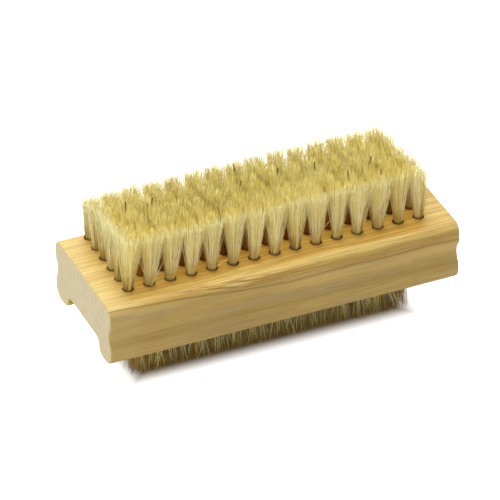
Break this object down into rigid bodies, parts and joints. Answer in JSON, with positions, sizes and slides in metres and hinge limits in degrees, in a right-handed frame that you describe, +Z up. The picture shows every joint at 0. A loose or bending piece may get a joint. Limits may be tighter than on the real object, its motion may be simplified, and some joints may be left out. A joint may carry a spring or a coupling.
{
  "type": "nail brush",
  "caption": "Double-sided nail brush: grooved wooden block with a wide field of pale bristle tufts on top and a narrow field in a channel underneath.",
  "frame": {"origin": "on the floor, under the middle of the box round the whole brush, which stands on the tips of its lower bristles", "axes": "+X along the brush, +Y towards the long side with the shorter bristles, +Z up through the top field"},
  "size_m": [0.095, 0.036, 0.0438],
  "materials": {
    "wood": "smooth sanded, thin clear coat",
    "bristle": "natural bristle, cream",
    "anchor_metal": "flat wire, as drawn"
  },
  "bodies": {
    "root": {"wood_block": "wood", "top_tufts_row_1": "bristle", "top_tufts_row_2": "bristle", "top_tufts_row_3": "bristle", "top_tufts_row_4": "bristle", "top_tufts_row_5": "bristle", "top_tufts_row_6": "bristle", "bottom_tufts_row_1": "bristle", "bottom_tufts_row_2": "bristle", "bottom_tufts_row_3": "bristle", "top_anchors_row_1": "anchor_metal", "top_anchors_row_2": "anchor_metal", "top_anchors_row_3": "anchor_metal", "top_anchors_row_4": "anchor_metal", "top_anchors_row_5": "anchor_metal", "top_anchors_row_6": "anchor_metal", "bottom_anchors_row_1": "anchor_metal", "bottom_anchors_row_2": "anchor_metal", "bottom_anchors_row_3": "anchor_metal"}
  },
  "joints": []
}
